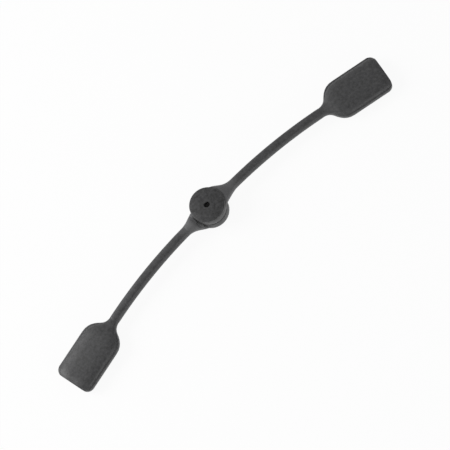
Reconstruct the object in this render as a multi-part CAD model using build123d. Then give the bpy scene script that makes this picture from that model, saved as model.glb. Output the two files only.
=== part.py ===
from build123d import *
import math
import os

# Eyeglass retainer strap: two moulded rubber halves that swivel on one hub.
# Millimetres. The hub axis is Z through the origin, the hub's underside is Z = 0,
# +X runs to the upper half's sleeve, and both halves bow towards -Y.

# hub discs
DISC_RADIUS = 9.8
DISC_THICKNESS = 6.1
DISC_OUTER_BEVEL = 0.5
DISC_INNER_BEVEL = 0.4
DISC_GAP = 0.6
EYE_DIAMETER = 3.2
SKIN_THICKNESS = 1.2

# hub hardware
BUSH_NECK_DIAMETER = 11.0
BUSH_RIM_DIAMETER = 13.0
BUSH_RIM_THICKNESS = 1.5
KEY_COUNT = 6
KEY_DIAMETER = 1.6
RIVET_SHANK_DIAMETER = 4.4
RIVET_WALL = 0.6
RIVET_HEAD_DIAMETER = 7.0
RIVET_HEAD_THICKNESS = 0.5
ROLL_DIAMETER = 5.8
ROLL_THICKNESS = 0.6
ROLL_BEVEL = 0.3
CLENCH_RING_DIAMETER = 7.4
CLENCH_RING_THICKNESS = 0.5
SWIVEL_WASHER_DIAMETER = 14.0
SHAFT_CLEARANCE = 0.05
SIDE_CLEARANCE = 0.1

# arm
ARM_WIDTH = 5.4
ARM_THICKNESS = 5.2
ROOT_LENGTH = 17.5
ROOT_START = 6.4
ROOT_SPREAD = 14.0
ARM_CLEARANCE = 0.4
BOW_RADIUS = 298.0
BOW_ANGLE = 11.7

# sleeve for the end of a spectacle side
SLEEVE_LENGTH = 41.5
SLEEVE_WIDTH = 22.9
SLEEVE_THICKNESS = 8.0
SHOULDER_LENGTH = 14.6
CORNER_RADIUS = 4.2
RIM_WIDTH = 1.4
RIM_THICKNESS = 3.0
RIM_BEVEL = 0.5
RIM_INSET = 0.4
POCKET_WIDTH = 15.0
POCKET_HEIGHT = 5.0
POCKET_DEPTH = 27.0
POCKET_ROUND = 1.6

HUB_HEIGHT = 2 * DISC_THICKNESS + DISC_GAP
HUB_MIDDLE = HUB_HEIGHT / 2
CLENCH_DEPTH = CLENCH_RING_THICKNESS + ROLL_THICKNESS + 2 * SIDE_CLEARANCE
CLENCH_FLOOR = HUB_HEIGHT - SKIN_THICKNESS - CLENCH_DEPTH
SECTION_POINTS = 16
OVAL = 2.2
PILLOW = 2.8


def section(place, half_width, half_height, squareness):
    """One closed rounded outline, from a slim ellipse to a full pillow."""
    points = []
    for step in range(SECTION_POINTS):
        angle = 2 * math.pi * step / SECTION_POINTS + math.pi / 2
        reach = abs(math.cos(angle)) ** (2 / squareness)
        rise = abs(math.sin(angle)) ** (2 / squareness)
        across = math.copysign(half_width * reach, math.cos(angle))
        up = math.copysign(half_height * rise, math.sin(angle))
        points.append(place.from_local_coords((across, up, 0)))
    return make_face(Wire([Spline(points, periodic=True)]))


def cross_plane(along, across, height, turn):
    """A plane square to the arm's run, its X across the strap and its Y up."""
    angle = math.radians(turn)
    run = (math.cos(angle), -math.sin(angle), 0)
    side = (math.sin(angle), math.cos(angle), 0)
    return Plane(origin=(along, -across, height), x_dir=side, z_dir=run)


def arm_root(level):
    """Flare from the disc to the arm, cranked from the disc's level to mid height.

    Each step holds its share of the run, its share of the spread, its share of the
    crank and its half height.
    """
    disc_level = level * (HUB_HEIGHT - DISC_THICKNESS) / 2
    narrow = ARM_WIDTH / 2
    wide = ROOT_SPREAD / 2
    low = DISC_THICKNESS / 2 - DISC_INNER_BEVEL
    full = ARM_THICKNESS / 2
    start = ROOT_START
    run = ROOT_LENGTH - ROOT_START
    steps = [
        (0.0, 1.0, 1.0, low),
        (0.2, 0.88, 0.88, low),
        (0.4, 0.62, 0.55, (low + full) / 2),
        (0.6, 0.33, 0.22, full),
        (0.8, 0.12, 0.04, full),
        (0.93, 0.03, 0.0, full),
        (1.0, 0.0, 0.0, full),
    ]
    outlines = []
    for share, flare, lift, half_height in steps:
        place = cross_plane(start + share * run, 0, lift * disc_level, 0)
        half_width = narrow + flare * (wide - narrow)
        outlines.append(section(place, half_width, half_height, OVAL))
    return loft(outlines)


def bow_point(turn):
    """Where the arm's centre line is once it has turned by this many degrees."""
    angle = math.radians(turn)
    return (
        ROOT_LENGTH + BOW_RADIUS * math.sin(angle),
        BOW_RADIUS * (1 - math.cos(angle)),
    )


def arm():
    """Slim oval bar along one long gentle bow."""
    place = cross_plane(ROOT_LENGTH, 0, 0, 0)
    outline = section(place, ARM_WIDTH / 2, ARM_THICKNESS / 2, OVAL)
    bow_axis = Axis((ROOT_LENGTH, -BOW_RADIUS, 0), (0, 0, -1))
    return revolve(outline, axis=bow_axis, revolution_arc=BOW_ANGLE)


def sleeve_frame():
    """The sleeve's own frame: X along it from the arm's end, Y across, Z up."""
    along, across = bow_point(BOW_ANGLE)
    return Location((along, -across, 0), (0, 0, -BOW_ANGLE))


def sleeve_pillow():
    """Swollen body of the sleeve, from the arm's oval to the end face.

    Shoulder steps hold share of the shoulder, share of the growth and squareness.
    Closing steps hold distance from the end, share of the width and of the height.
    """
    neck = ARM_WIDTH / 2
    full = SLEEVE_WIDTH / 2 - RIM_WIDTH
    thin = ARM_THICKNESS / 2
    thick = SLEEVE_THICKNESS / 2
    shoulder = [(0.0, 0.0, OVAL), (0.08, 0.0, OVAL), (0.24, 0.08, OVAL)]
    shoulder += [(0.44, 0.34, 2.3), (0.7, 0.8, 2.6)]
    shoulder += [(1.0, 0.98, PILLOW), (1.25, 1.0, PILLOW)]
    outlines = []
    for share, growth, squareness in shoulder:
        place = cross_plane(share * SHOULDER_LENGTH, 0, 0, 0)
        half_width = neck + growth * (full - neck)
        half_height = thin + growth * (thick - thin)
        outlines.append(section(place, half_width, half_height, squareness))
    closing = [(6.0, 1.0, 1.0), (3.4, 1.0, 0.99), (1.5, 0.96, 0.92), (0.0, 0.85, 0.77)]
    for back, width_share, height_share in closing:
        place = cross_plane(SLEEVE_LENGTH - back, 0, 0, 0)
        half_width = full * width_share
        half_height = thick * height_share
        outlines.append(section(place, half_width, half_height, PILLOW))
    return loft(outlines)


def sleeve_outline():
    """Plan outline of the rim: neck, rounded shoulders, straight sides, round corners."""
    neck = ARM_WIDTH / 2 - RIM_INSET
    half = SLEEVE_WIDTH / 2
    turn_in = (0.41 * SHOULDER_LENGTH, neck + 0.32 * (half - neck))
    shoulder_start = (0.0, neck)
    shoulder_end = (SHOULDER_LENGTH + 1, half)
    corner_start = (SLEEVE_LENGTH - CORNER_RADIUS, half)
    corner_end = (SLEEVE_LENGTH, half - CORNER_RADIUS)
    slope = (0.55, 0.84)
    lead_in = Spline(shoulder_start, turn_in, tangents=[(1, 0.05), slope])
    lead_out = Spline(turn_in, shoulder_end, tangents=[slope, (1, 0)])
    side = Line(shoulder_end, corner_start)
    corner = RadiusArc(corner_start, corner_end, CORNER_RADIUS)
    end = Line(corner_end, (SLEEVE_LENGTH, 0))
    upper = [lead_in, lead_out, side, corner, end]
    lower = [mirror(edge, about=Plane.XZ) for edge in upper]
    start = Line((0, neck), (0, -neck))
    return make_face([start] + upper + lower)


def sleeve_rim():
    """Parting-line rim round the sleeve, with bevelled edges."""
    rim = extrude(sleeve_outline(), amount=RIM_THICKNESS / 2, both=True)
    flat_edges = rim.edges().group_by(Axis.Z)[-1] + rim.edges().group_by(Axis.Z)[0]
    shown_edges = [edge for edge in flat_edges if edge.center().X > 1]
    return chamfer(shown_edges, RIM_BEVEL)


def pocket():
    """Blind slot from the end face that takes the end of a spectacle side."""
    reach = POCKET_DEPTH + 2
    slot = Box(reach, POCKET_WIDTH, POCKET_HEIGHT)
    slot = fillet(slot.edges().filter_by(Axis.X), POCKET_ROUND)
    return Pos(SLEEVE_LENGTH - POCKET_DEPTH + reach / 2, 0, 0) * slot


def upright_cylinder(diameter, bottom, top):
    """A cylinder on the hub axis between two heights."""
    middle = (bottom + top) / 2
    return Pos(0, 0, middle) * Cylinder(diameter / 2, top - bottom)


def on_level(piece, level):
    """Turns a piece drawn for the lower disc over when it belongs to the upper one."""
    if level < 0:
        return piece
    return Pos(0, 0, HUB_HEIGHT) * (Rotation(180, 0, 0) * piece)


def bush_outside():
    """Stepped form of a bush: rim on the skin, scalloped so that it can't spin, and neck."""
    rim_top = SKIN_THICKNESS + BUSH_RIM_THICKNESS
    body = upright_cylinder(BUSH_RIM_DIAMETER, SKIN_THICKNESS, rim_top)
    key = upright_cylinder(KEY_DIAMETER, SKIN_THICKNESS, rim_top)
    body -= PolarLocations(BUSH_RIM_DIAMETER / 2, KEY_COUNT) * key
    return body + upright_cylinder(BUSH_NECK_DIAMETER, SKIN_THICKNESS, DISC_THICKNESS)


def disc():
    """Moulded hub disc with bevelled edges, before it is cut."""
    body = upright_cylinder(2 * DISC_RADIUS, 0, DISC_THICKNESS)
    body = chamfer(body.edges().group_by(Axis.Z)[0], DISC_OUTER_BEVEL)
    return chamfer(body.edges().group_by(Axis.Z)[-1], DISC_INNER_BEVEL)


def droop_angle():
    """Slight fall of each arm that lets its sleeve touch the table with the hub."""
    drop = HUB_MIDDLE - SLEEVE_THICKNESS / 2
    along = bow_point(BOW_ANGLE)[0]
    reach = along + SLEEVE_LENGTH * math.cos(math.radians(BOW_ANGLE))
    return math.degrees(math.atan(drop / reach))


def strap_half(level):
    """One moulded half, drawn towards +X: disc, cranked root, arm and sleeve."""
    limb = arm_root(level) + arm()
    limb += sleeve_frame() * sleeve_pillow()
    limb += sleeve_frame() * sleeve_rim()
    limb -= sleeve_frame() * pocket()
    limb = Pos(0, 0, HUB_MIDDLE) * (Rotation(0, droop_angle(), 0) * limb)
    room_diameter = 2 * (DISC_RADIUS + ARM_CLEARANCE)
    room = upright_cylinder(room_diameter, DISC_THICKNESS, HUB_HEIGHT + DISC_THICKNESS)
    limb -= on_level(room, level)
    half = on_level(disc(), level) + limb
    half -= on_level(bush_outside(), level)
    eye = upright_cylinder(EYE_DIAMETER, -1, DISC_THICKNESS)
    return half - on_level(eye, level)


def lower_bush():
    """Bush of the lower disc: tight on the rivet, counterbored for its head."""
    body = bush_outside() - upright_cylinder(RIVET_SHANK_DIAMETER, 0, DISC_THICKNESS)
    seat_diameter = RIVET_HEAD_DIAMETER + 2 * SIDE_CLEARANCE
    seat_top = SKIN_THICKNESS + RIVET_HEAD_THICKNESS
    return body - upright_cylinder(seat_diameter, 0, seat_top)


def upper_bush():
    """Bush of the upper disc: turns on the rivet, counterbored for the clenched end."""
    body = on_level(bush_outside(), 1)
    bore_diameter = RIVET_SHANK_DIAMETER + 2 * SHAFT_CLEARANCE
    body -= upright_cylinder(bore_diameter, 0, HUB_HEIGHT)
    seat_diameter = CLENCH_RING_DIAMETER + 2 * SIDE_CLEARANCE
    return body - upright_cylinder(seat_diameter, CLENCH_FLOOR, HUB_HEIGHT)


def swivel_washer():
    """Friction washer that lies on the lower disc and spaces the two discs."""
    top = DISC_THICKNESS + DISC_GAP - SIDE_CLEARANCE
    body = upright_cylinder(SWIVEL_WASHER_DIAMETER, DISC_THICKNESS, top)
    bore_diameter = RIVET_SHANK_DIAMETER + 2 * SHAFT_CLEARANCE
    return body - upright_cylinder(bore_diameter, 0, HUB_HEIGHT)


def clench_ring():
    """Small ring under the clenched end of the rivet."""
    bottom = CLENCH_FLOOR + SIDE_CLEARANCE
    body = upright_cylinder(CLENCH_RING_DIAMETER, bottom, bottom + CLENCH_RING_THICKNESS)
    return body - upright_cylinder(RIVET_SHANK_DIAMETER, 0, HUB_HEIGHT)


def pivot_rivet():
    """Hollow rivet: flat head below, plain shank, end rolled over the clench ring."""
    head_top = SKIN_THICKNESS + RIVET_HEAD_THICKNESS
    roll_bottom = CLENCH_FLOOR + SIDE_CLEARANCE + CLENCH_RING_THICKNESS
    roll_top = roll_bottom + ROLL_THICKNESS
    roll = upright_cylinder(ROLL_DIAMETER, roll_bottom, roll_top)
    roll = chamfer(roll.edges().group_by(Axis.Z)[-1], ROLL_BEVEL)
    body = upright_cylinder(RIVET_HEAD_DIAMETER, SKIN_THICKNESS, head_top)
    body += upright_cylinder(RIVET_SHANK_DIAMETER, SKIN_THICKNESS, roll_bottom)
    body += roll
    bore_diameter = RIVET_SHANK_DIAMETER - 2 * RIVET_WALL
    return body - upright_cylinder(bore_diameter, 0, HUB_HEIGHT)


pieces = {
    "lower_strap": mirror(strap_half(-1), about=Plane.YZ),
    "upper_strap": strap_half(1),
    "lower_bush": lower_bush(),
    "upper_bush": upper_bush(),
    "swivel_washer": swivel_washer(),
    "clench_ring": clench_ring(),
    "pivot_rivet": pivot_rivet(),
}
os.makedirs("parts", exist_ok=True)
for name, piece in pieces.items():
    export_step(piece, f"parts/{name}.step")
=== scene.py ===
import math

import bpy
from mathutils import Matrix, Vector


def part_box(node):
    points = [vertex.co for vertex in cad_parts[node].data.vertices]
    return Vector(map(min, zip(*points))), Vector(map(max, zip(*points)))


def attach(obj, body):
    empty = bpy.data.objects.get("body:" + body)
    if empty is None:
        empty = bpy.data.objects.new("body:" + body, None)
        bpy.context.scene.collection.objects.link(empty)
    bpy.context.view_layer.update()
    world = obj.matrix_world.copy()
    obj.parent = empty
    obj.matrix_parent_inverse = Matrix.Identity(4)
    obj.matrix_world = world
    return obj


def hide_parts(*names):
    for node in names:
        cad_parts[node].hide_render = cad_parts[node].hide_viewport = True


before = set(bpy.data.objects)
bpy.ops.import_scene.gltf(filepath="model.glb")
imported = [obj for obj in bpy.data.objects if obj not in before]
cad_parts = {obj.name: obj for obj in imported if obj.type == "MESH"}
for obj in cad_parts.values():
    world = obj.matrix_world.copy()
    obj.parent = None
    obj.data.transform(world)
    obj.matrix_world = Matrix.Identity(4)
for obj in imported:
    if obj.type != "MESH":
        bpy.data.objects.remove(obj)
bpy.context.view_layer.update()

bpy.ops.object.select_all(action="DESELECT")

# --- camera, white table and studio light ---
# The strap lies flat on a plain white table in a white light tent, which is brighter low down.
# A large softbox stands on one side, and a small low one opposite catches the hub's wall.
hub_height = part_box("upper_strap")[1][2]
camera_tilt = math.radians(20.13)
camera_lean = math.radians(-96.38)
camera_roll = math.radians(39.12)
camera_distance = 1.107
points_per_metre = 1866
hub_left, hub_down = 18.34, 20.57
sensor_width, image_width = 36, 450
toward = Vector((
    math.cos(camera_lean) * math.sin(camera_tilt),
    math.sin(camera_lean) * math.sin(camera_tilt),
    math.cos(camera_tilt),
))
uphill = Vector((
    -math.cos(camera_lean) * math.cos(camera_tilt),
    -math.sin(camera_lean) * math.cos(camera_tilt),
    math.sin(camera_tilt),
))
sideways = uphill.cross(toward)
camera_right = sideways * math.cos(camera_roll) - uphill * math.sin(camera_roll)
camera_up = sideways * math.sin(camera_roll) + uphill * math.cos(camera_roll)
aim = Vector((0, 0, hub_height))
aim += (camera_right * hub_left - camera_up * hub_down) / points_per_metre
eye_point = aim + toward * camera_distance
bpy.ops.object.camera_add(location=eye_point)
camera = bpy.context.object
camera.name = "studio_camera"
camera.data.sensor_width = sensor_width
camera.data.lens = sensor_width * points_per_metre * camera_distance / image_width
camera.data.clip_start = 0.01
facing = Matrix((camera_right, camera_up, toward)).transposed().to_4x4()
camera.matrix_world = Matrix.Translation(eye_point) @ facing
bpy.context.scene.camera = camera
bpy.context.scene.view_settings.view_transform = "Standard"


def add_node(tree, kind, inputs=None, **settings):
    """Adds one node, sets its settings and constants, and links its inputs."""
    node = tree.nodes.new(kind)
    for setting, value in settings.items():
        setattr(node, setting, value)
    for socket, value in (inputs or {}).items():
        if isinstance(value, bpy.types.NodeSocket):
            tree.links.new(value, node.inputs[socket])
        else:
            node.inputs[socket].default_value = value
    return node


def hex_colour(code):
    """Turns a written sRGB colour into linear values."""
    parts = [int(code[place:place + 2], 16) / 255 for place in (1, 3, 5)]
    linear = [c / 12.92 if c <= 0.04045 else ((c + 0.055) / 1.055) ** 2.4 for c in parts]
    return (*linear, 1)


def start_material(name):
    """Opens a new material with an empty node tree."""
    material = bpy.data.materials.new(name)
    material.use_nodes = True
    material.node_tree.nodes.clear()
    return material, material.node_tree


table_size, table_drop, table_seen_share = 6, 0.0002, 0.93
bpy.ops.mesh.primitive_plane_add(size=table_size, location=(0, 0, -table_drop))
table = bpy.context.object
table.name = "white_table"
bpy.ops.object.transform_apply()
table_paint, tree = start_material("white_laminate")
rays = add_node(tree, "ShaderNodeLightPath")
laminate = add_node(tree, "ShaderNodeBsdfDiffuse", {"Color": hex_colour("#f2f2f2")})
white = add_node(tree, "ShaderNodeEmission", {"Color": (1, 1, 1, 1), "Strength": 1})
seen = add_node(tree, "ShaderNodeMath", {0: rays.outputs["Is Camera Ray"], 1: table_seen_share},
                operation="MULTIPLY")
seen = add_node(tree, "ShaderNodeMath", {0: seen.outputs[0], 1: rays.outputs["Is Glossy Ray"]},
                operation="MAXIMUM")
table_mix = add_node(tree, "ShaderNodeMixShader",
                     {0: seen.outputs[0], 1: laminate.outputs[0], 2: white.outputs[0]})
add_node(tree, "ShaderNodeOutputMaterial", {"Surface": table_mix.outputs[0]})
table.data.materials.append(table_paint)

low_light, top_light, top_starts = 0.8, 0.3, 0.7
studio = bpy.data.worlds.new("studio")
bpy.context.scene.world = studio
studio.use_nodes = True
studio.node_tree.nodes.clear()
sky = add_node(studio.node_tree, "ShaderNodeTexCoord")
height_up = add_node(studio.node_tree, "ShaderNodeSeparateXYZ",
                     {"Vector": sky.outputs["Generated"]})
tent = add_node(studio.node_tree, "ShaderNodeMapRange",
                {"Value": height_up.outputs["Z"], "From Min": 0.0, "From Max": top_starts,
                 "To Min": low_light, "To Max": top_light}, interpolation_type="SMOOTHSTEP")
air = add_node(studio.node_tree, "ShaderNodeBackground",
               {"Color": (1, 1, 1, 1), "Strength": tent.outputs["Result"]})
add_node(studio.node_tree, "ShaderNodeOutputWorld", {"Surface": air.outputs[0]})

lamp_reach = 1.0
for lamp_name, azimuth, height, size, watts in (
    ("key_softbox", 135, 34, 0.6, 8.5),
    ("low_softbox", -85, 18, 0.35, 1.9),
):
    azimuth, height = math.radians(azimuth), math.radians(height)
    stand = Vector((math.cos(azimuth) * math.cos(height), math.sin(azimuth) * math.cos(height),
                    math.sin(height))) * lamp_reach
    bpy.ops.object.light_add(type="AREA", location=stand)
    lamp = bpy.context.object
    lamp.name = lamp_name
    lamp.data.size = size
    lamp.data.energy = watts
    lamp.rotation_euler = (-stand).to_track_quat("-Z", "Y").to_euler()

# --- rubber halves ---
# Each half is one compression moulding in charcoal silicone rubber: disc, root, arm and sleeve.
# Limb, sleeve and disc are made apart and fused, then the pocket and the bush seat are cut.
mm = 0.001
hub_middle = hub_height / 2
disc_radius, disc_height = 9.8 * mm, 6.1 * mm
disc_shown_bevel, disc_hidden_bevel = 0.5 * mm, 0.4 * mm
arm_half_width, arm_half_height = 2.7 * mm, 2.6 * mm
root_start, root_end = 6.4 * mm, 17.5 * mm
root_half_width, root_half_height = 7.0 * mm, 2.65 * mm
root_raised, root_lowered = 3.8 * mm, 3.3 * mm
bow_radius, bow_turn, bow_steps = 298 * mm, math.radians(11.7), 26
sleeve_length, sleeve_half_width, sleeve_half_height = 41.5 * mm, 11.45 * mm, 4.0 * mm
shoulder_length, sleeve_corner, sleeve_overlap = 14.6 * mm, 4.2 * mm, 2.5 * mm
rim_shown, rim_height, rim_bevel, rim_neck = 0.85 * mm, 3.0 * mm, 0.5 * mm, 2.3 * mm
pocket_width, pocket_height, pocket_depth, pocket_round = 15 * mm, 5 * mm, 27 * mm, 1.6 * mm
bush_rim_radius, bush_rim_bottom, bush_rim_top = 6.5 * mm, 1.2 * mm, 2.7 * mm
bush_neck_radius, bush_keys, key_radius = 5.5 * mm, 6, 0.8 * mm
eye_radius, eye_edge_radius, eye_edge_depth = 1.6 * mm, 2.1 * mm, 0.2 * mm
running_gap, swivel_limit, side_room = 0.15 * mm, math.radians(135), 1.05
cut_past = 0.1 * mm
sleeve_reach = root_end + bow_radius * math.sin(bow_turn) + sleeve_length * math.cos(bow_turn)
droop = math.atan((hub_middle - sleeve_half_height) / sleeve_reach)
# Smoothing draws a section in a little, so each one starts this much larger.
round_swell, section_points, smooth_levels = 1.0065, 32, 2
limb_squareness, nose_squareness, pillow_squareness = 2.7, 2.5, 2.8
weld_distance, smooth_angle, rim_edge_angle = 0.01 * mm, math.radians(35), math.radians(60)


def edit(select_mode="VERT"):
    """Opens the new piece in edit mode with nothing selected."""
    bpy.ops.object.mode_set(mode="EDIT")
    bpy.ops.mesh.select_mode(type=select_mode)
    bpy.ops.mesh.select_all(action="DESELECT")


def choose(piece, wanted, part="vertices"):
    """Selects the vertices or edges that pass the test, in edit mode."""
    bpy.ops.mesh.select_all(action="DESELECT")
    bpy.ops.object.mode_set(mode="OBJECT")
    for item in getattr(piece.data, part):
        item.select = bool(wanted(item))
    bpy.ops.object.mode_set(mode="EDIT")


def apply_modifier(piece, kind, **settings):
    """Adds one modifier, sets it and applies it."""
    bpy.ops.object.select_all(action="DESELECT")
    piece.select_set(True)
    bpy.context.view_layer.objects.active = piece
    modifier = piece.modifiers.new(kind.lower(), kind)
    for setting, value in settings.items():
        setattr(modifier, setting, value)
    bpy.ops.object.modifier_apply(modifier=modifier.name)


def work(piece, operation, tools):
    """Cuts tools out of a solid, trims it to them or fuses them, and throws them away."""
    for tool in tools:
        apply_modifier(piece, "BOOLEAN", object=tool, operation=operation, solver="MANIFOLD")
        bpy.data.objects.remove(tool)


def place_piece(piece, location=(0, 0, 0), turn=(0, 0, 0), size=(1, 1, 1)):
    """Moves a piece into place and fixes the place in its mesh."""
    bpy.ops.object.select_all(action="DESELECT")
    piece.select_set(True)
    bpy.context.view_layer.objects.active = piece
    piece.location, piece.rotation_euler, piece.scale = location, turn, size
    bpy.ops.object.transform_apply()


def face_outwards(piece):
    """Merges doubles and turns every face of a piece outwards."""
    bpy.ops.object.select_all(action="DESELECT")
    piece.select_set(True)
    bpy.context.view_layer.objects.active = piece
    edit("FACE")
    bpy.ops.mesh.select_all(action="SELECT")
    bpy.ops.mesh.remove_doubles(threshold=weld_distance)
    bpy.ops.mesh.normals_make_consistent(inside=False)
    bpy.ops.object.mode_set(mode="OBJECT")


def oval(half_width, half_height, along, squareness):
    """A filled oval across X: the squareness is 2 for an ellipse and more for a fuller one."""
    bpy.ops.mesh.primitive_circle_add(vertices=section_points, radius=1, fill_type="NGON",
                                      rotation=(0, math.pi / 2, 0))
    ring = bpy.context.object
    bpy.ops.object.transform_apply()
    for vertex in ring.data.vertices:
        across, up = vertex.co.y, vertex.co.z
        vertex.co.y = math.copysign(abs(across) ** (2 / squareness), across) * half_width
        vertex.co.z = math.copysign(abs(up) ** (2 / squareness), up) * half_height
        vertex.co.x = along
    return ring


def draw_out(ring, stations):
    """Pulls an oval along X through stations of place, half width, half height and level."""
    along, width, height, level = stations[0]
    edit("FACE")
    bpy.ops.mesh.select_all(action="SELECT")
    for next_along, next_width, next_height, next_level in stations[1:]:
        step = (next_along - along, 0, next_level - level)
        bpy.ops.mesh.extrude_region_move(TRANSFORM_OT_translate={"value": step})
        bpy.ops.transform.resize(value=(1, next_width / width, next_height / height),
                                 center_override=(next_along, 0, next_level))
        along, width, height, level = next_along, next_width, next_height, next_level


def disc_form():
    """The hub disc with its two bevelled edges, lying on the table."""
    bpy.ops.mesh.primitive_cylinder_add(vertices=144, radius=disc_radius, depth=disc_height,
                                        location=(0, 0, disc_height / 2))
    disc = bpy.context.object
    bpy.ops.object.transform_apply()
    edit("EDGE")
    for bevel, low in ((disc_shown_bevel, True), (disc_hidden_bevel, False)):
        choose(disc, lambda edge: all((disc.data.vertices[v].co.z < disc_height / 2) == low
                                      for v in edge.vertices), "edges")
        bpy.ops.mesh.bevel(offset=bevel, segments=3, profile=0.5)
    bpy.ops.object.mode_set(mode="OBJECT")
    return disc


def limb_form(level):
    """Root and arm: flared at the disc, cranked to mid height, then one long gentle bow."""
    crank = root_raised if level > 0 else -root_lowered
    run, spread = root_end - root_start, root_half_width - arm_half_width
    rise = arm_half_height - root_half_height
    stations = []
    for share, flare, lift, growth in (
        (-0.2, 1.4, 0.99, 0.0), (-0.1, 1.31, 0.99, 0.0), (0.0, 1.13, 1.0, 0.0),
        (0.1, 0.99, 0.99, 0.0), (0.25, 0.82, 0.9, 0.0),
        (0.4, 0.6, 0.62, 0.5), (0.55, 0.39, 0.32, 1.0), (0.7, 0.21, 0.12, 1.0),
        (0.85, 0.09, 0.02, 1.0), (1.0, 0.0, 0.0, 1.0),
    ):
        stations.append((root_start + share * run, arm_half_width + flare * spread,
                         root_half_height + growth * rise, lift * crank))
    limb = oval(stations[0][1] * round_swell, stations[0][2] * round_swell, stations[0][0],
                limb_squareness)
    place_piece(limb, location=(0, 0, stations[0][3]))
    draw_out(limb, stations)
    bpy.ops.mesh.spin(steps=bow_steps, angle=bow_turn, center=(root_end, -bow_radius, 0),
                      axis=(0, 0, 1))
    overlap = (sleeve_overlap * math.cos(bow_turn), -sleeve_overlap * math.sin(bow_turn), 0)
    bpy.ops.mesh.extrude_region_move(TRANSFORM_OT_translate={"value": overlap})
    bpy.ops.object.mode_set(mode="OBJECT")
    apply_modifier(limb, "SUBSURF", levels=smooth_levels, render_levels=smooth_levels)
    return limb


def nose_form():
    """The lower root's raised nose, which carries the arm's top up to the disc's edge."""
    stations = [(along * mm, half_width * mm, half_height * mm, level * mm)
                for along, half_width, half_height, level in (
                    (8.6, 6.5, 4.1, -1.95), (10.0, 5.65, 4.1, -1.95), (11.2, 5.0, 4.0, -1.45),
                    (12.2, 4.5, 3.75, -0.75), (13.6, 3.8, 3.3, -0.3), (15.0, 3.25, 2.95, -0.1),
                    (16.5, 2.8, 2.7, 0.0), (18.0, 2.6, 2.55, 0.0))]
    nose = oval(stations[0][1], stations[0][2], stations[0][0], nose_squareness)
    place_piece(nose, location=(0, 0, stations[0][3]))
    draw_out(nose, stations)
    bpy.ops.object.mode_set(mode="OBJECT")
    apply_modifier(nose, "SUBSURF", levels=smooth_levels, render_levels=smooth_levels)
    return nose


def trim_block():
    """The room that the sleeve is trimmed to: square ended, with the rim's round corners."""
    reach, end = sleeve_length + 10 * mm, sleeve_length - 0.01 * mm
    width = 2 * (sleeve_half_width - cut_past)
    bpy.ops.mesh.primitive_cube_add(size=1, location=(end - reach / 2, 0, 0),
                                    scale=(reach, width, 4 * sleeve_half_height))
    block = bpy.context.object
    bpy.ops.object.transform_apply()
    edit("EDGE")
    choose(block, lambda edge: abs(block.data.vertices[edge.vertices[0]].co.z
                                   - block.data.vertices[edge.vertices[1]].co.z) > mm, "edges")
    bpy.ops.mesh.bevel(offset=sleeve_corner, segments=10, profile=0.5)
    bpy.ops.object.mode_set(mode="OBJECT")
    return block


def pillow_form():
    """The swollen body of the sleeve, drawn straight along X and cut square at its end."""
    full = sleeve_half_width - rim_shown
    widening, thickening = full - arm_half_width, sleeve_half_height - arm_half_height
    stations = [(-1.5 * mm, arm_half_width * 0.93, arm_half_height * 0.93, 0)]
    for share, growth in ((0.1, 0.0), (0.24, 0.06), (0.36, 0.2), (0.5, 0.46), (0.64, 0.72),
                          (0.8, 0.9), (1.0, 0.985), (1.25, 1.0), (1.7, 1.0)):
        swell = 0.95 + 0.05 * growth
        stations.append((share * shoulder_length, (arm_half_width + growth * widening) * swell,
                         (arm_half_height + growth * thickening) * swell, 0))
    for back, width_share, height_share in (
        (6.5, 1.0, 1.0), (3.6, 0.995, 0.985), (1.7, 0.965, 0.93), (0.2, 0.86, 0.79),
        (-1.2, 0.68, 0.58),
    ):
        stations.append((sleeve_length - back * mm, full * width_share,
                         sleeve_half_height * height_share, 0))
    pillow = oval(stations[0][1] * round_swell, stations[0][2] * round_swell, stations[0][0],
                  pillow_squareness)
    draw_out(pillow, stations)
    bpy.ops.object.mode_set(mode="OBJECT")
    apply_modifier(pillow, "SUBSURF", levels=smooth_levels, render_levels=smooth_levels)
    work(pillow, "INTERSECT", [trim_block()])
    return pillow


def rim_form():
    """The flat rim that runs round the sleeve where the two mould plates meet."""
    bpy.ops.mesh.primitive_plane_add(size=1, location=(0, 0, 0))
    rim = bpy.context.object
    bpy.ops.transform.resize(value=(1 * mm, 2 * rim_neck, 1))
    bpy.ops.object.transform_apply()
    edit("EDGE")
    choose(rim, lambda edge: all(rim.data.vertices[v].co.x > 0 for v in edge.vertices), "edges")
    along, width = 0.5 * mm, rim_neck
    for step, half_width in (
        (1.7, 2.51), (3.0, 2.88), (4.2, 3.44), (5.2, 4.25), (6.1, 5.4), (7.1, 6.9), (8.3, 8.35),
        (9.7, 9.63), (11.3, 10.58), (13.2, 11.22), (15.6, 11.44), (20.0, 11.44), (41.5, 11.44),
    ):
        step, half_width = step * mm, half_width * mm
        bpy.ops.mesh.extrude_region_move(TRANSFORM_OT_translate={"value": (step - along, 0, 0)})
        bpy.ops.transform.resize(value=(1, half_width / width, 1), center_override=(step, 0, 0))
        along, width = step, half_width
    choose(rim, lambda vertex: vertex.co.x > sleeve_length - cut_past)
    bpy.ops.mesh.select_mode(type="VERT")
    bpy.ops.mesh.bevel(offset=sleeve_corner, affect="VERTICES", segments=12, profile=0.5)
    bpy.ops.object.mode_set(mode="OBJECT")
    face_outwards(rim)
    apply_modifier(rim, "SOLIDIFY", thickness=rim_height, offset=0)
    apply_modifier(rim, "BEVEL", width=rim_bevel, segments=2, limit_method="ANGLE",
                   angle_limit=rim_edge_angle)
    face_outwards(rim)
    return rim


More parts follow.
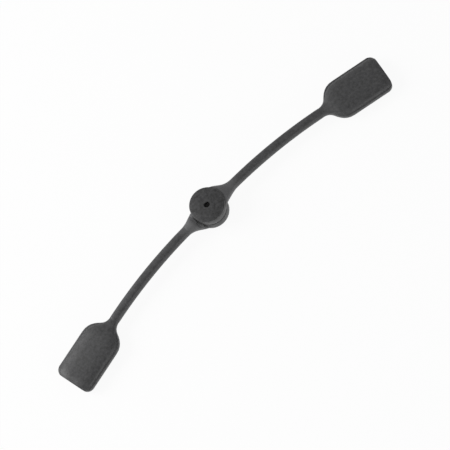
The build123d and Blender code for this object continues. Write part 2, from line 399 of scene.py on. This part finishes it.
def pocket_tool():
    """The core pin that leaves the blind pocket in the sleeve."""
    reach = pocket_depth + 2 * mm
    middle = sleeve_length - pocket_depth + reach / 2
    bpy.ops.mesh.primitive_cube_add(size=1, location=(middle, 0, 0),
                                    scale=(reach, pocket_width, pocket_height))
    pin = bpy.context.object
    bpy.ops.object.transform_apply()
    edit("EDGE")
    choose(pin, lambda edge: abs(pin.data.vertices[edge.vertices[0]].co.x
                                 - pin.data.vertices[edge.vertices[1]].co.x) > mm, "edges")
    bpy.ops.mesh.bevel(offset=pocket_round, segments=8, profile=0.5)
    bpy.ops.object.mode_set(mode="OBJECT")
    return pin


def drum(radius, bottom, top, centre=(0, 0), top_radius=None):
    """A round form with its axis upright, straight or tapered, between two heights."""
    bpy.ops.mesh.primitive_cone_add(vertices=96, radius1=radius, radius2=top_radius or radius,
                                    depth=top - bottom, location=(*centre, (bottom + top) / 2))
    form = bpy.context.object
    bpy.ops.object.transform_apply()
    return form


def bush_seat_tools():
    """The forms that the bush and the eye leave in the disc: rim with its keys, neck and eye."""
    rim_seat = drum(bush_rim_radius, bush_rim_bottom, bush_rim_top)
    for key in range(bush_keys):
        turn = key * 2 * math.pi / bush_keys
        centre = (bush_rim_radius * math.cos(turn), bush_rim_radius * math.sin(turn))
        work(rim_seat, "DIFFERENCE", [drum(key_radius, bush_rim_bottom - cut_past,
                                           bush_rim_top + cut_past, centre)])
    neck_seat = drum(bush_neck_radius, bush_rim_bottom + cut_past, disc_height + 2 * cut_past)
    eye_hole = drum(eye_radius, -mm, bush_rim_bottom + 2 * cut_past)
    eye_edge = drum(eye_edge_radius, -0.3 * mm, eye_edge_depth, top_radius=eye_radius - 0.05 * mm)
    return [rim_seat, neck_seat, eye_hole, eye_edge]


def rubber_half(name, level, side):
    """One finished half: level -1 is the lower disc, side 1 runs towards +X."""
    limb, sleeve_body, sleeve_rim = limb_form(level), pillow_form(), rim_form()
    if level < 0:
        work(limb, "UNION", [nose_form()])
    core_pin = pocket_tool()
    sleeve_place = (root_end + bow_radius * math.sin(bow_turn),
                    -bow_radius * (1 - math.cos(bow_turn)), 0)
    for form in (sleeve_body, sleeve_rim, core_pin):
        place_piece(form, location=sleeve_place, turn=(0, 0, -bow_turn))
    for form in (limb, sleeve_body, sleeve_rim, core_pin):
        place_piece(form, location=(0, 0, hub_middle), turn=(0, droop, 0))
    room = drum(disc_radius + running_gap, disc_height, hub_height + disc_height)
    disc, seats = disc_form(), bush_seat_tools()
    if level > 0:
        for form in (room, disc, *seats):
            place_piece(form, location=(0, 0, hub_height), turn=(math.pi, 0, 0))
    work(limb, "DIFFERENCE", [room])
    if level < 0:  # room for the upper root, which comes over the lower one at both limits
        for swing in (swivel_limit - math.pi, math.pi - swivel_limit):
            passing_root = limb_form(1)
            place_piece(passing_root, location=(0, 0, hub_middle - running_gap),
                        turn=(0, droop, 0), size=(1, side_room, 1))
            place_piece(passing_root, turn=(0, 0, swing))
            work(limb, "DIFFERENCE", [passing_root])
    half = disc
    half.name = name
    work(half, "UNION", [limb, sleeve_body, sleeve_rim])
    work(half, "DIFFERENCE", [core_pin, *seats])
    if side < 0:
        place_piece(half, size=(-1, 1, 1))
    face_outwards(half)
    bpy.ops.object.shade_smooth_by_angle(angle=smooth_angle)
    return half


# Silicone rubber from an eroded steel mould is matt and grainy, with a faint cloudy tone.
# A grain of about 0.1 mm is too fine to show, so it is drawn at 0.7 mm, and the clouds at 1.7.
rubber, tree = start_material("moulded_silicone_rubber")
place = add_node(tree, "ShaderNodeTexCoord")
grain = add_node(tree, "ShaderNodeTexNoise",
                 {"Vector": place.outputs["Object"], "Scale": 1500, "Detail": 4, "Roughness": 0.65})
clouds = add_node(tree, "ShaderNodeTexNoise",
                  {"Vector": place.outputs["Object"], "Scale": 600, "Detail": 6, "Roughness": 0.75})
mottle = add_node(tree, "ShaderNodeMapRange",
                  {"Value": clouds.outputs["Fac"], "From Min": 0.34, "From Max": 0.66})
tone = add_node(tree, "ShaderNodeMix",
                {0: mottle.outputs["Result"], 6: hex_colour("#282828"), 7: hex_colour("#4b4b4c")},
                data_type="RGBA")
# Painted highlight: the roots are drawn paler, as if lit, from the disc's edge out, dying out along
# the arm.
flat = add_node(tree, "ShaderNodeVectorMath", {0: place.outputs["Object"], 1: (1, 1, 0)},
                operation="MULTIPLY")
along = add_node(tree, "ShaderNodeVectorMath", {0: flat.outputs[0]}, operation="LENGTH")
painted_light_start = add_node(tree, "ShaderNodeMapRange",
                    {"Value": along.outputs["Value"], "From Min": 9.85 * mm, "From Max": 10.9 * mm},
                    interpolation_type="SMOOTHSTEP")
painted_light_fade = add_node(tree, "ShaderNodeMapRange",
                     {"Value": along.outputs["Value"], "From Min": 14 * mm, "From Max": 24 * mm,
                      "To Min": 0.85, "To Max": 0.15}, interpolation_type="SMOOTHSTEP")
painted_root_light = add_node(tree, "ShaderNodeMath", {0: painted_light_start.outputs[0], 1: painted_light_fade.outputs[0]},
                 operation="MULTIPLY")
tone = add_node(tree, "ShaderNodeMix",
                {0: painted_root_light.outputs[0], 6: tone.outputs[2], 7: hex_colour("#636364")},
                data_type="RGBA")
# Painted highlight: the moulded edges and creases are drawn paler, as if lit, but not those inside
# the eye.
rounded = add_node(tree, "ShaderNodeBevel", {"Radius": 0.35 * mm}, samples=8)
shape = add_node(tree, "ShaderNodeNewGeometry")
match = add_node(tree, "ShaderNodeVectorMath",
                 {0: rounded.outputs["Normal"], 1: shape.outputs["Normal"]},
                 operation="DOT_PRODUCT")
painted_edge_highlight = add_node(tree, "ShaderNodeMapRange",
                    {"Value": match.outputs["Value"], "From Min": 0.997, "From Max": 0.93})
eye_clear = add_node(tree, "ShaderNodeMapRange",
                     {"Value": along.outputs["Value"], "From Min": 4 * mm, "From Max": 6 * mm})
painted_edge_highlight = add_node(tree, "ShaderNodeMath",
                    {0: painted_edge_highlight.outputs["Result"], 1: eye_clear.outputs["Result"]},
                    operation="MULTIPLY")
tone = add_node(tree, "ShaderNodeMix",
                {0: painted_edge_highlight.outputs[0], 6: tone.outputs[2], 7: hex_colour("#6a6a6b")},
                data_type="RGBA")
sheen = add_node(tree, "ShaderNodeMapRange",
                 {"Value": grain.outputs["Fac"], "To Min": 0.4, "To Max": 0.55})
pits = add_node(tree, "ShaderNodeBump",
                {"Height": grain.outputs["Fac"], "Strength": 0.3, "Distance": 0.1 * mm})
surface = add_node(tree, "ShaderNodeBsdfPrincipled",
                   {"Base Color": tone.outputs[2], "Roughness": sheen.outputs["Result"],
                    "Normal": pits.outputs["Normal"], "IOR": 1.42})
add_node(tree, "ShaderNodeOutputMaterial", {"Surface": surface.outputs[0]})

for name, node, body, level, side in (("lower_rubber_half", "lower_strap", "lower_half", -1, -1),
                                      ("upper_rubber_half", "upper_strap", "upper_half", 1, 1)):
    half = rubber_half(name, level, side)
    half.data.materials.clear()
    half.data.materials.append(rubber)
    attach(half, body)
    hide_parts(node)

# --- moulded bushes ---
# Each disc is moulded round a black acetal bush, whose scalloped rim keeps it from turning.
# Acetal comes from a polished mould, so it has a low even sheen with faint 3 mm flow marks.
acetal, tree = start_material("moulded_acetal")
place = add_node(tree, "ShaderNodeTexCoord")
flow = add_node(tree, "ShaderNodeTexNoise",
                {"Vector": place.outputs["Object"], "Scale": 350, "Detail": 3, "Roughness": 0.55})
tone = add_node(tree, "ShaderNodeMix",
                {0: flow.outputs["Fac"], 6: hex_colour("#141415"), 7: hex_colour("#232324")},
                data_type="RGBA")
sheen = add_node(tree, "ShaderNodeMapRange",
                 {"Value": flow.outputs["Fac"], "To Min": 0.3, "To Max": 0.45})
ripple = add_node(tree, "ShaderNodeBump",
                  {"Height": flow.outputs["Fac"], "Strength": 0.15, "Distance": 0.05 * mm})
surface = add_node(tree, "ShaderNodeBsdfPrincipled",
                   {"Base Color": tone.outputs[2], "Roughness": sheen.outputs["Result"],
                    "Normal": ripple.outputs["Normal"], "IOR": 1.48})
add_node(tree, "ShaderNodeOutputMaterial", {"Surface": surface.outputs[0]})
for node in ("lower_bush", "upper_bush"):
    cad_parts[node].data.materials.clear()
    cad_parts[node].data.materials.append(acetal)

# --- swivel washer ---
# A thin friction washer, die-cut from black nylon sheet, lies loose between the two discs.
# The sheet has a dull calendered face, rubbed in arcs 0.4 mm apart where the discs turn on it.
nylon, tree = start_material("die_cut_nylon_sheet")
place = add_node(tree, "ShaderNodeTexCoord")
apart = add_node(tree, "ShaderNodeSeparateXYZ", {"Vector": place.outputs["Object"]})
radius_squared = add_node(tree, "ShaderNodeMath",
                          {0: apart.outputs["X"], 1: apart.outputs["X"]}, operation="MULTIPLY")
radius_squared = add_node(tree, "ShaderNodeMath",
                          {0: apart.outputs["Y"], 1: apart.outputs["Y"],
                           2: radius_squared.outputs[0]}, operation="MULTIPLY_ADD")
radius = add_node(tree, "ShaderNodeMath", {0: radius_squared.outputs[0]}, operation="SQRT")
rings = add_node(tree, "ShaderNodeTexNoise", {"W": radius.outputs[0], "Scale": 2500, "Detail": 2},
                 noise_dimensions="1D")
tone = add_node(tree, "ShaderNodeMix",
                {0: rings.outputs["Fac"], 6: hex_colour("#1c1c1d"), 7: hex_colour("#343435")},
                data_type="RGBA")
rubbed = add_node(tree, "ShaderNodeMapRange",
                  {"Value": rings.outputs["Fac"], "To Min": 0.4, "To Max": 0.6})
arcs = add_node(tree, "ShaderNodeBump",
                {"Height": rings.outputs["Fac"], "Strength": 0.2, "Distance": 0.03 * mm})
surface = add_node(tree, "ShaderNodeBsdfPrincipled",
                   {"Base Color": tone.outputs[2], "Roughness": rubbed.outputs["Result"],
                    "Normal": arcs.outputs["Normal"], "IOR": 1.53})
add_node(tree, "ShaderNodeOutputMaterial", {"Surface": surface.outputs[0]})
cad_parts["swivel_washer"].data.materials.clear()
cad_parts["swivel_washer"].data.materials.append(nylon)

# --- hollow rivet and clench ring ---
# A hollow stainless rivet pins the bushes, and its end is rolled over a small stainless ring.
# Both are blackened after stamping: the oxide is near black and dull, with faint paler patches.
# Its drawn lines are finer than 0.1 mm, too fine to show, so they are drawn 0.45 mm apart.
blackened, tree = start_material("blackened_stainless_steel")
place = add_node(tree, "ShaderNodeTexCoord")
drawn = add_node(tree, "ShaderNodeMapping",
                 {"Vector": place.outputs["Object"], "Scale": (1, 1, 0.15)})
marks = add_node(tree, "ShaderNodeTexNoise",
                 {"Vector": drawn.outputs["Vector"], "Scale": 2200, "Detail": 3, "Roughness": 0.6})
patches = add_node(tree, "ShaderNodeTexNoise",
                   {"Vector": place.outputs["Object"], "Scale": 600, "Detail": 2})
thin = add_node(tree, "ShaderNodeMapRange",
                {"Value": patches.outputs["Fac"], "From Min": 0.7, "From Max": 0.85})
oxide = add_node(tree, "ShaderNodeMix",
                 {0: thin.outputs["Result"], 6: hex_colour("#0e0e0d"), 7: hex_colour("#242322")},
                 data_type="RGBA")
dullness = add_node(tree, "ShaderNodeMapRange",
                    {"Value": marks.outputs["Fac"], "To Min": 0.6, "To Max": 0.78})
lines = add_node(tree, "ShaderNodeBump",
                 {"Height": marks.outputs["Fac"], "Strength": 0.2, "Distance": 0.03 * mm})
surface = add_node(tree, "ShaderNodeBsdfPrincipled",
                   {"Base Color": oxide.outputs[2], "Metallic": 1,
                    "Roughness": dullness.outputs["Result"], "Normal": lines.outputs["Normal"]})
add_node(tree, "ShaderNodeOutputMaterial", {"Surface": surface.outputs[0]})
for node in ("pivot_rivet", "clench_ring"):
    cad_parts[node].data.materials.clear()
    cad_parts[node].data.materials.append(blackened)
